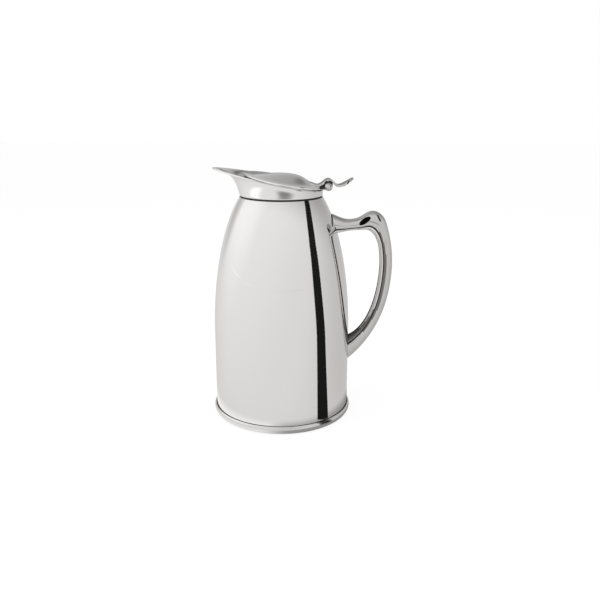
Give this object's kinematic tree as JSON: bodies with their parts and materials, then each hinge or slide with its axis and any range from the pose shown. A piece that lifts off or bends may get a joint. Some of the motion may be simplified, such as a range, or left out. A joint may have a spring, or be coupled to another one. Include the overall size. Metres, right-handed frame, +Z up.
{
  "type": "thermal jug",
  "caption": "Vacuum-walled steel jug with a flared pouring lip, a hinged domed lid with a thumb lever, and a hollow loop handle, for keeping and serving hot drinks.",
  "frame": {"origin": "on the body's axis, in the plane of the foot ring's flat underside", "axes": "+Z up along the body's axis, spout towards -X, handle and hinge towards +X, y = 0 is the middle plane"},
  "size_m": [0.1609, 0.1252, 0.2212],
  "materials": {
    "polished_steel": "mirror-polished stainless steel",
    "satin_steel": "drawn stainless steel, left satin",
    "black_rubber": "moulded silicone rubber",
    "bright_foil": "bright metal foil",
    "getter_metal": "pressed metal powder",
    "white_foam": "rigid white foam"
  },
  "bodies": {
    "body": {"outer_shell": "polished_steel", "inner_liner": "satin_steel", "radiation_foil": "bright_foil", "neck_ring": "satin_steel", "shell_base": "satin_steel", "seal_plug": "satin_steel", "getter_clip": "satin_steel", "getter_pellet": "getter_metal", "base_cover": "satin_steel", "foot_ring": "polished_steel", "neck_gasket": "black_rubber", "spout_collar": "polished_steel", "hinge_bracket": "polished_steel", "hinge_pin": "polished_steel", "pin_caps": "polished_steel", "handle_near_half": "polished_steel", "handle_far_half": "polished_steel", "handle_end_plates": "satin_steel"},
    "lid": {"lid_cap": "polished_steel", "lid_pan": "satin_steel", "lid_insulation": "white_foam", "lid_lever": "polished_steel"}
  },
  "joints": [
    {"name": "lid_hinge", "type": "hinge", "parent": "body", "child": "lid", "pos_m": [0.0406, 0, 0.206], "axis": [0, 1, 0], "range_deg": [0, 90]}
  ]
}
